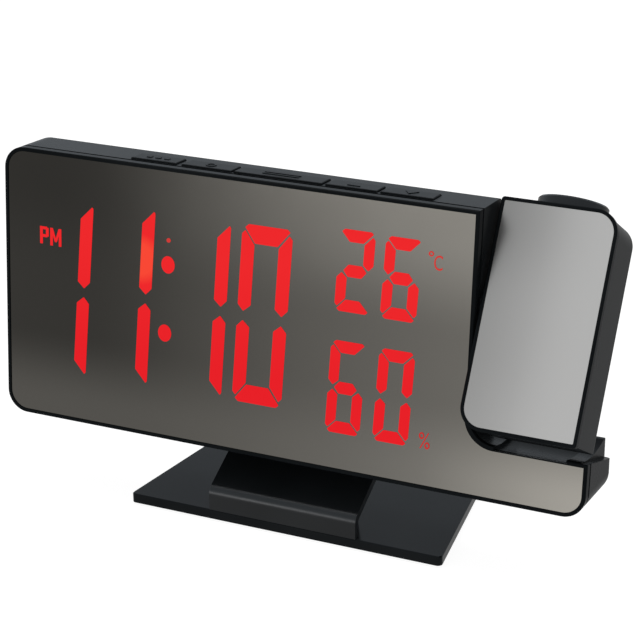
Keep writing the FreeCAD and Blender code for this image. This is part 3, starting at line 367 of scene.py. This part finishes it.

# %% [markdown]
# The painted reflection makes the big mirror dark and brownish on the left, where it faces a dark corner of
# the room, and pale grey towards the right and towards both edges. The arm's mirror gets a paler and softer
# painted reflection. Each band is a short list of places from left to right, with a tone for each. The tones
# were chosen by comparing renders with the photograph.

# %% Smoked mirrors
FRONT_WARM = (1.05, 1.0, 0.90)
ARM_WARM = (1.08, 1.0, 0.92)
FRONT_ROUGH = (0.10, 0.14)
ARM_ROUGH = (0.24, 0.28)
# Painted reflection tones of the big mirror, for its lower edge, middle and top: (place along X, tone).
FRONT_REFLECTION_BANDS = (
    ((0.0, 0.16), (0.18, 0.16), (0.33, 0.17), (0.53, 0.22), (0.74, 0.29), (0.88, 0.54), (1.0, 0.70)),
    ((0.0, 0.07), (0.17, 0.062), (0.32, 0.105), (0.53, 0.18), (0.75, 0.235), (1.0, 0.32)),
    ((0.0, 0.056), (0.18, 0.046), (0.33, 0.135), (0.53, 0.265), (0.76, 0.425), (1.0, 0.51)),
)
# Painted reflection tones of the arm's mirror, in the same order.
ARM_REFLECTION_BANDS = (
    ((0.0, 0.35), (0.4, 0.45), (0.7, 0.53), (1.0, 0.53)),
    ((0.0, 0.33), (0.4, 0.43), (0.7, 0.52), (1.0, 0.53)),
    ((0.0, 0.27), (0.4, 0.38), (0.7, 0.51), (1.0, 0.53)),
)
front_mirror = mirror_sheet("front_mirror", FRONT_REFLECTION_BANDS, FRONT_WARM, FRONT_ROUGH)
arm_mirror = mirror_sheet("arm_mirror", ARM_REFLECTION_BANDS, ARM_WARM, ARM_ROUGH)
print("mirrors:", front_mirror.name, arm_mirror.name)

# %% [markdown]
# Screws and clips are plated steel, the pivot nut is brass, and the lenses and the picture slide are clear
# plastic. Plating is never quite even. The same two noises as for the plastics drift its tone and break up
# its shine, and they are finer here, because the parts are small.

# %% Metals and clear plastic
METAL_SHADE = 0.8
METAL_DRIFT = 300.0
METAL_GRAIN = (3000.0, 0.00002, 0.2)
CLOUD_SCALE = 120.0
CLEAR_ROUGH = (0.02, 0.05)
CLEAR_SHARE = 0.85
CLEAR_BENDING = 1.5


def worn_metal(name, colour, rough):
    material, nodes, links, shader = new_material(name)
    drift = object_noise(nodes, links, METAL_DRIFT)
    dark = tuple(c * METAL_SHADE for c in colour)
    links.new(two_tone(nodes, links, drift, dark, colour), shader.inputs["Base Color"])
    links.new(spread(nodes, links, drift, *rough), shader.inputs["Roughness"])
    shader.inputs["Metallic"].default_value = 1.0
    scale, depth, strength = METAL_GRAIN
    grain_bump(nodes, links, shader, object_noise(nodes, links, scale), depth, strength)
    return material


def clear_glass(name, tint):
    material, nodes, links, shader = new_material(name)
    cloud = object_noise(nodes, links, CLOUD_SCALE)
    links.new(spread(nodes, links, cloud, *CLEAR_ROUGH), shader.inputs["Roughness"])
    shader.inputs["Base Color"].default_value = (*tint, 1)
    shader.inputs["Transmission Weight"].default_value = CLEAR_SHARE
    shader.inputs["IOR"].default_value = CLEAR_BENDING
    return material


steel = worn_metal("steel", (0.52, 0.52, 0.53), (0.3, 0.42))
brass = worn_metal("brass", (0.62, 0.45, 0.2), (0.28, 0.4))
speaker_metal = worn_metal("speaker_metal", (0.12, 0.12, 0.125), (0.45, 0.6))
lens_glass = clear_glass("lens_glass", (0.75, 0.8, 0.84))
print("metals:", [m.name for m in (steel, brass, speaker_metal)], "clear:", lens_glass.name)

# %% [markdown]
# The digits are lit from behind. Light leaves them evenly, so they are drawn by emission, a little paler
# towards the top, and need no lamps of their own. One segment sits right in front of its lamp and glows
# orange.

# %% Lit plastic
LAMP_OFF = (0.02, 0.0, 0.0, 1)
LOWER_RED = (0.79, 0.015, 0.021)
UPPER_RED = (0.84, 0.022, 0.025)
LOWER_DIM = (0.55, 0.030, 0.028)
UPPER_DIM = (0.62, 0.045, 0.038)
HOT_ORANGE = (0.93, 0.065, 0.036)
HOT_PLACE = PANEL @ Vector((-49.0 * MM, 0.2 * MM, 57.5 * MM))
HOT_REACH = 13.0 * MM


def glow(links, shader, colour):
    """Light comes from the piece itself, and with the lamp off it would be a dark red."""
    links.new(colour, shader.inputs["Emission Color"])
    shader.inputs["Emission Strength"].default_value = 1.0
    shader.inputs["Base Color"].default_value = LAMP_OFF
    shader.inputs["Specular IOR Level"].default_value = 0.0


def lit_plastic(name, lower, upper):
    """Lit segments, a little paler and warmer towards the top, as the eye looks down on them."""
    material, nodes, links, shader = new_material(name)
    place = nodes.new("ShaderNodeTexCoord")
    split = nodes.new("ShaderNodeSeparateXYZ")
    links.new(place.outputs["Object"], split.inputs[0])
    rise = along(nodes, links, split.outputs["Z"], low[2], high[2])
    glow(links, shader, two_tone(nodes, links, rise, lower, upper))
    return material


def hot_plastic(name, centre, reach, cool, hot):
    """The segment right in front of its lamp: it glows orange near the lamp and red further off."""
    material, nodes, links, shader = new_material(name)
    place = nodes.new("ShaderNodeTexCoord")
    away = nodes.new("ShaderNodeVectorMath")
    away.operation = "DISTANCE"
    links.new(place.outputs["Object"], away.inputs[0])
    away.inputs[1].default_value = centre
    near = along(nodes, links, away.outputs["Value"], reach, 0.0, smooth=True)
    glow(links, shader, two_tone(nodes, links, near, cool, hot))
    return material


lit_red = lit_plastic("lit_red", LOWER_RED, UPPER_RED)
dim_red = lit_plastic("dim_red", LOWER_DIM, UPPER_DIM)
hot_red = hot_plastic("hot_red", HOT_PLACE, HOT_REACH, UPPER_RED, HOT_ORANGE)
print("lit:", [m.name for m in (lit_red, dim_red, hot_red)])

# %% [markdown]
# Every piece of the frame gets its finish here, by name. Its shape is the real one already, so only its
# material slots are filled. A list by finish shows at once which pieces look alike.

# %% Dress the frame's nodes
FINISH = {
    satin_black: ("casing", "cell_cover", "cell_holder", "arm_casing", "key_switches", "pivot_tube",
                  "optics_tube", "lens_barrel"),
    frame_black: ("front_frame", "arm_front"),
    ring_black: ("focus_ring",),
    stand_black: ("base_plate",),
    neck_black: ("neck",),
    key_black: ("key_mode", "key_alarm", "key_snooze", "key_up", "key_down"),
    rubber_black: ("feet",),
    white_plastic: ("segment_reflector",),
    board_green: ("display_board", "main_board", "key_board", "led_board"),
    steel: ("casing_screws", "board_screws", "power_inlet", "coin_cell", "neck_screws", "base_screws",
            "arm_screws", "friction_washer"),
    brass: ("pivot_nut",),
    speaker_metal: ("speaker",),
    lens_glass: ("condenser_lens", "image_slide", "projection_lens"),
    front_mirror: ("front_mirror",),
    arm_mirror: ("arm_mirror",),
    lit_red: ("projector_led",),
}
for material, names in FINISH.items():
    for name in names:
        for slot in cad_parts[name].material_slots:
            slot.material = material
dressed = sum(len(names) for names in FINISH.values())
print("dressed", dressed, "of", len(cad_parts), "nodes")

# %% [markdown]
# What this script adds to the clock is thin: lit segments, signs and raised marks. By hand such a plate is
# drawn flat in edit mode and extruded, and its faces are turned outwards. The helpers do these steps, so
# each piece below needs little more than its outline.

# %% Working in edit mode
def edit(obj):
    bpy.ops.object.select_all(action="DESELECT")
    obj.select_set(True)
    bpy.context.view_layer.objects.active = obj
    bpy.ops.object.mode_set(mode="EDIT")
    bpy.ops.mesh.select_all(action="SELECT")


def thicken(thick):
    """Gives the sheet in edit mode a thickness, turns its faces outwards and leaves edit mode."""
    bpy.ops.mesh.select_all(action="SELECT")
    bpy.ops.mesh.extrude_region_move(TRANSFORM_OT_translate={"value": (0, 0, thick)})
    bpy.ops.mesh.select_all(action="SELECT")
    bpy.ops.mesh.normals_make_consistent(inside=False)
    bpy.ops.object.mode_set(mode="OBJECT")


def join(objects, name):
    bpy.ops.object.select_all(action="DESELECT")
    for obj in objects:
        obj.select_set(True)
    bpy.context.view_layer.objects.active = objects[0]
    if len(objects) > 1:
        bpy.ops.object.join()
    joined = bpy.context.view_layer.objects.active
    joined.name = name
    joined.data.name = name
    return joined


print("helpers:", edit.__name__, thicken.__name__, join.__name__)

# %% [markdown]
# In the clock a lit segment is the mouth of a light well, seen through the half mirror. The shader's mirror
# lets no light through, so each segment is a thin plate on the glass. A flat plate with slanted ends is
# quickly made from a plane that covers it: the plane is sliced along every slanting side with Bisect, its
# corners are eased with a vertex bevel, and an extrude gives it a thickness.

# %% A plate with slanted ends
PLATE = 0.12 * MM
CORNER_EASE = 0.22 * MM
EASE_STEPS = 2
STRAIGHT = 1e-7


def plate_from(points, name, ease=CORNER_EASE, thick=PLATE):
    """Flat convex plate in the XY plane, sliced out of a plane along its slanting sides."""
    xs = [p[0] for p in points]
    ys = [p[1] for p in points]
    centre = Vector(((min(xs) + max(xs)) / 2, (min(ys) + max(ys)) / 2, 0))
    bpy.ops.object.select_all(action="DESELECT")
    bpy.ops.mesh.primitive_plane_add(size=1)
    obj = bpy.context.object
    obj.name = name
    edit(obj)
    bpy.ops.transform.resize(value=(max(xs) - min(xs), max(ys) - min(ys), 1), center_override=(0, 0, 0))
    bpy.ops.transform.translate(value=centre)
    middle = Vector((sum(xs) / len(xs), sum(ys) / len(ys), 0))
    for i, point in enumerate(points):
        start = Vector((*point, 0))
        side = Vector((*points[(i + 1) % len(points)], 0)) - start
        if min(abs(side.x), abs(side.y)) < STRAIGHT:
            continue
        outward = Vector((side.y, -side.x, 0)).normalized()
        if outward.dot(start - middle) < 0:
            outward.negate()
        bpy.ops.mesh.select_all(action="SELECT")
        bpy.ops.mesh.bisect(plane_co=start, plane_no=outward, clear_outer=True)
    bpy.ops.mesh.select_all(action="SELECT")
    bpy.ops.mesh.bevel(affect="VERTICES", offset=ease, segments=EASE_STEPS)
    thicken(thick)
    return obj


print("plates:", round(PLATE / MM, 2), "mm thick")

# %% [markdown]
# A seven-segment digit is a frame of six uprights and bars round a middle bar. Their ends are cut on the
# slant, so the segments meet with a thin dark gap. The one has no bar above its upright, so its upright
# runs to the top. The built-in font has no such digits, so they are drawn here. Outlines in shares of the
# stroke fit both sizes.

# %% The seven segments
def upright(length, stroke, bar, point, capped):
    """One upright from the middle of the digit outwards, as (x, distance from the middle).

    A capped upright ends on the slant under a bar. The other one ends in a tip of its own.
    """
    shoulder = point + 0.48 * stroke
    if capped:
        end = [(0, length - 0.72 * stroke), (0.24 * stroke, length - 0.46 * stroke),
               (stroke, length - bar - 0.12 * stroke)]
    else:
        end = [(0, length - 0.14 * stroke), (0.10 * stroke, length), (stroke, length - 0.96 * stroke)]
    return end + [(stroke, shoulder), (0.45 * stroke, point), (0, shoulder)]


LIT = {"0": "abcdef", "1": "bc", "2": "abdeg", "6": "acdefg"}


def digit_segments(character, width, height, middle, stroke, bar, point):
    """Outlines of the lit segments of one digit, as convex polygons, before the slant."""
    capped = character != "1"
    lower, upper = (upright(length, stroke, bar, point, capped) for length in (middle, height - middle))
    level = [(0.22 * stroke, 0.24 * stroke), (0.48 * stroke, 0), (width - 0.42 * stroke, 0),
             (width - 0.20 * stroke, 0.2 * stroke), (width - 1.10 * stroke, bar), (1.04 * stroke, bar)]
    tip, wide = 0.62 * stroke, 1.08 * stroke
    outlines = {
        "a": [(x, height - y) for x, y in level],
        "b": [(width - x, middle + y) for x, y in upper],
        "c": [(width - x, middle - y) for x, y in lower],
        "d": level,
        "e": [(x, middle - y) for x, y in lower],
        "f": [(x, middle + y) for x, y in upper],
        "g": [(tip, middle), (wide, middle + bar / 2), (width - wide, middle + bar / 2),
              (width - tip, middle), (width - wide, middle - bar / 2), (wide, middle - bar / 2)],
    }
    return [(segment, outlines[segment]) for segment in LIT[character]]


print("lit segments:", LIT)

# %% [markdown]
# A digit is drawn flat, where its outline is easy to lay down. Its plates are then sheared, because the
# digits of the display lean to the right. The finished number is stood up on the mirror and leaned with the
# clock. All this is done in the mesh and not on the object, because the export puts every object back at
# the origin.

# %% A digit on the glass
MIRROR_FACE = 0.3 * MM


def write_digit(character, left, bottom, top, middle, slant, size, name):
    """Plates of one lit digit: (x, z) places on the glass in millimetres, leaning with the display."""
    width, stroke, bar, point = (v * MM for v in size)
    shear = Matrix.Identity(4)
    shear[0][1] = slant
    place = Matrix.Translation((left * MM, bottom * MM, 0)) @ shear
    height, middle = (top - bottom) * MM, (middle - bottom) * MM
    plates = {}
    for segment, outline in digit_segments(character, width, height, middle, stroke, bar, point):
        plates[segment] = plate_from(outline, name + "_plate")
        plates[segment].data.transform(place)
    return plates


def on_glass(obj, face=MIRROR_FACE):
    """Stands a flat piece up on the front of the mirror and leans it with the clock."""
    obj.data.transform(PANEL @ Matrix.Translation((0, face, 0)) @ Matrix.Rotation(math.pi / 2, 4, "X"))
    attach(obj, "clock")
    return obj


print("mirror face:", round(MIRROR_FACE / MM, 2), "mm behind the rim")

# %% [markdown]
# The display shows 11:10 at the left, with 26 and 60 stacked at the right. Each digit has its own place on
# the glass, measured one by one. All plates of a number are joined, so that it is one piece, and a plate
# keeps its own colour through the join.

# %% Time and climate digits
# Sizes in millimetres: width, stroke of an upright, height of a bar, gap from the middle to an upright's tip.
TIME_SIZE = (16.7, 4.3, 5.8, 1.45)
CLIMATE_SIZE = (11.4, 3.25, 3.75, 0.7)
HOT = ("time_digits", 1, "b")
SLANT = 0.046

# Each digit: its left edge, bottom, top and middle in millimetres, and how far it leans.
ROWS = {
    "time_digits": (TIME_SIZE, (
        ("1", -85.4, 16.6, 71.6, 43.55, 0.057), ("1", -63.3, 17.4, 73.1, 44.9, 0.050),
        ("1", -37.2, 18.0, 72.2, 44.95, SLANT), ("0", -16.75, 17.1, 73.7, 44.85, SLANT))),
    "temperature_digits": (CLIMATE_SIZE, (
        ("2", 16.5, 51.3, 76.6, 64.0, SLANT), ("6", 31.2, 51.2, 76.4, 64.0, SLANT))),
    "humidity_digits": (CLIMATE_SIZE, (
        ("6", 14.7, 12.8, 42.1, 27.3, SLANT), ("0", 30.3, 12.7, 42.0, 27.0, SLANT))),
}

for name, (size, digits) in ROWS.items():
    plates = []
    for place, (character, left, bottom, top, middle, slant) in enumerate(digits):
        made = write_digit(character, left, bottom, top, middle, slant, size, name)
        for segment, plate in made.items():
            plate.data.materials.append(hot_red if (name, place, segment) == HOT else lit_red)
            plates.append(plate)
    number = on_glass(join(plates, name))
    print(name, len(number.data.polygons), "faces", [m.name for m in number.data.materials])

# %% [markdown]
# The small signs need two more shapes, a round plate and a letter. The round plate is a filled circle that
# is thickened, and it is inset and opened first where it is a ring. A letter is typed in the built-in font,
# made a mesh and fitted to its height and width, which is quicker than drawing its curves.

# %% Discs and letters
ROUND_STEPS = 40
LETTER_OFFSET = -0.004
LETTER_STEPS = 4
MERGE = 1e-6


def disc(x, z, radius, name, narrow=1.0, hole=0.0, thick=PLATE):
    """A flat round plate, an oval or a ring. Its place, radius and hole are in millimetres."""
    bpy.ops.object.select_all(action="DESELECT")
    bpy.ops.mesh.primitive_circle_add(vertices=ROUND_STEPS, radius=radius * MM, fill_type="NGON")
    plate = bpy.context.object
    plate.name = name
    edit(plate)
    if hole:
        bpy.ops.mesh.inset(thickness=(radius - hole) * MM)
        bpy.ops.mesh.delete(type="FACE")
    thicken(thick)
    plate.data.transform(Matrix.Translation((x * MM, z * MM, 0)) @ Matrix.Diagonal((narrow, 1, 1, 1)))
    return plate


def letter(text, left, bottom, height, width, name):
    """A mark from the built-in font, fitted to a height and a width in millimetres and made a mesh."""
    bpy.ops.object.select_all(action="DESELECT")
    bpy.ops.object.text_add()
    obj = bpy.context.object
    obj.data.body = text
    obj.data.offset = LETTER_OFFSET
    obj.data.resolution_u = LETTER_STEPS
    bpy.context.view_layer.update()
    bpy.ops.object.convert(target="MESH")
    obj = bpy.context.object
    obj.name = name
    xs = [v.co.x for v in obj.data.vertices]
    ys = [v.co.y for v in obj.data.vertices]
    scale_x = width * MM / (max(xs) - min(xs))
    scale_y = height * MM / (max(ys) - min(ys))
    fit = Matrix.Translation((left * MM - min(xs) * scale_x, bottom * MM - min(ys) * scale_y, 0))
    obj.data.transform(fit @ Matrix.Diagonal((scale_x, scale_y, 1, 1)))
    edit(obj)
    bpy.ops.mesh.remove_doubles(threshold=MERGE)
    thicken(PLATE)
    return obj


print("a disc has", ROUND_STEPS, "sides")

# %% [markdown]
# Two upright ovals make the colon, with a small dot above. The half-day sign is built from straight
# strokes, because its M came out crossed from the font. The unit signs are dimmer than the digits: a degree
# ring with its letter, and a percent sign.

# %% Colon, half-day sign and unit signs
COLON = ((-40.35, 34.9), (-39.35, 57.0))
COLON_RADIUS = 2.75
COLON_NARROW = 0.83
STROKE_EASE = 0.08 * MM


def in_metres(points):
    return [(x * MM, y * MM) for x, y in points]


def block(left, bottom, right, top):
    return [(left, bottom), (right, bottom), (right, top), (left, top)]


# In millimetres on the glass: the P's stem, two bars and bowl, and the M's two stems and two slants.
HALF_DAY = [
    block(-84.9, 57.5, -83.95, 63.1), block(-84.5, 62.2, -82.3, 63.1), block(-84.5, 59.7, -82.3, 60.6),
    block(-82.75, 60.0, -81.8, 62.8), block(-81.2, 57.3, -80.3, 63.0), block(-78.1, 57.3, -77.2, 63.0),
    [(-81.1, 63.0), (-80.25, 63.0), (-78.85, 58.6), (-79.55, 58.6)],
    [(-77.3, 63.0), (-78.15, 63.0), (-79.55, 58.6), (-78.85, 58.6)],
]

dots = [disc(x, z, COLON_RADIUS, "colon_dot", narrow=COLON_NARROW) for x, z in COLON]
colon = on_glass(join(dots, "colon_dots"))
colon.data.materials.append(lit_red)
strokes = [plate_from(in_metres(stroke), "half_day_mark", STROKE_EASE) for stroke in HALF_DAY]
half_day = on_glass(join(strokes, "half_day_mark"))
half_day.data.materials.append(lit_red)
small_marks = [
    disc(-39.2, 64.8, 0.7, "small_dot"),
    letter("C", 47.5, 68.2, 4.5, 2.6, "degree_letter"),
    disc(46.5, 72.9, 0.8, "degree_ring", hole=0.42),
    letter("%", 45.3, 12.9, 5.1, 3.5, "percent_sign"),
]
small = on_glass(join(small_marks, "small_marks"))
small.data.materials.append(dim_red)
print("marks:", colon.name, half_day.name, small.name)

# %% [markdown]
# The notch for the arm ends in a rounded corner, which follows the arm's own corner at an even gap. A
# quarter ring of frame plastic makes the curve, and a web of mirror film fills the corner outside it. Both
# come from a full ring, cut down with Bisect, so that the curve and its border share one centre.

# %% Rounded notch corner
CURVE = (68.7, 25.6)
CURVE_RADIUS = 8.0
CURVE_EDGE = 9.4
RIM_TUCK = 0.01
WEB_REACH = 1.45
CURVE_DEPTH = 1.6 * MM
CURVE_PROUD = 0.05 * MM


def cut_past(obj, place, axis):
    """Cuts away everything past one upright plane and closes the cut."""
    edit(obj)
    bpy.ops.mesh.bisect(plane_co=place, plane_no=axis, use_fill=True, clear_outer=True)
    bpy.ops.mesh.select_all(action="SELECT")
    bpy.ops.mesh.normals_make_consistent(inside=False)
    bpy.ops.object.mode_set(mode="OBJECT")


def notch_corner(name, outer, inner, thick, material):
    """The part of a ring that lies in the square between the curve's centre and the notch's corner."""
    piece = disc(*CURVE, outer, name, hole=inner, thick=thick)
    centre = Vector((*CURVE, 0)) * MM
    corner = centre - Vector((CURVE_EDGE, CURVE_EDGE, 0)) * MM
    for place, axis in ((centre, (1, 0, 0)), (centre, (0, 1, 0)), (corner, (-1, 0, 0)), (corner, (0, -1, 0))):
        cut_past(piece, place, axis)
    on_glass(piece, thick - CURVE_PROUD)
    piece.data.materials.append(material)
    return piece


notch_rim = notch_corner("notch_rim", CURVE_EDGE + RIM_TUCK, CURVE_RADIUS, CURVE_DEPTH,
                         frame_black)
notch_web = notch_corner("notch_web", CURVE_EDGE * WEB_REACH, CURVE_EDGE, PLATE,
                         front_mirror)
print("notch corner:", len(notch_rim.data.polygons), "and", len(notch_web.data.polygons), "faces")

# %% [markdown]
# Each key carries a raised mark in its own plastic, so a finger finds it in the dark: three squares, a
# ring, two long bars, and an arrow up and down. A mark is drawn flat at the origin, and then moved onto its
# key's top face.

# %% Raised marks on the keys
MARK_HEIGHT = 0.22 * MM
MARK_SINK = 0.02 * MM
MARK_EASE = 0.15 * MM
CAP_BAND = 0.1 * MM


def key_mark(shape, name):
    """Moves a flat mark onto the middle of a key's top face, and lets it ride with the key."""
    key_low, key_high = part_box(name)
    centre_x = (key_low[0] + key_high[0]) / 2
    inner = PANEL.inverted()
    points = [inner @ v.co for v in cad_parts[name].data.vertices]
    top = max(v.z for v in points)
    cap = [v.y for v in points if v.z > top - CAP_BAND]
    centre_y = (min(cap) + max(cap)) / 2
    shape.data.transform(PANEL @ Matrix.Translation((centre_x, centre_y, top - MARK_SINK)))
    shape.data.materials.append(key_black)
    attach(shape, name)


def mark_plate(points, name):
    return plate_from(in_metres(points), name, MARK_EASE, MARK_HEIGHT)


def bars(name, rows):
    """Several bars side by side, each given by its centre, length and width in millimetres."""
    return join([mark_plate(block(x - length / 2, y - width / 2, x + length / 2, y + width / 2), name)
                 for x, y, length, width in rows], name)


marks = {
    "key_mode": bars("mode_mark", [(-3.0, 0, 1.6, 1.6), (0, 0, 1.6, 1.6), (3.0, 0, 1.6, 1.6)]),
    "key_alarm": disc(0, 0, 1.7, "alarm_mark", hole=1.1, thick=MARK_HEIGHT),
    "key_snooze": bars("snooze_mark", [(0, 0.9, 12.0, 0.6), (0, -0.9, 12.0, 0.6)]),
    "key_up": mark_plate([(-2.2, -1.3), (2.2, -1.3), (0, 1.7)], "up_mark"),
    "key_down": mark_plate([(-2.2, 1.3), (0, -1.7), (2.2, 1.3)], "down_mark"),
}
for name, shape in marks.items():
    key_mark(shape, name)
print("key marks:", list(marks))
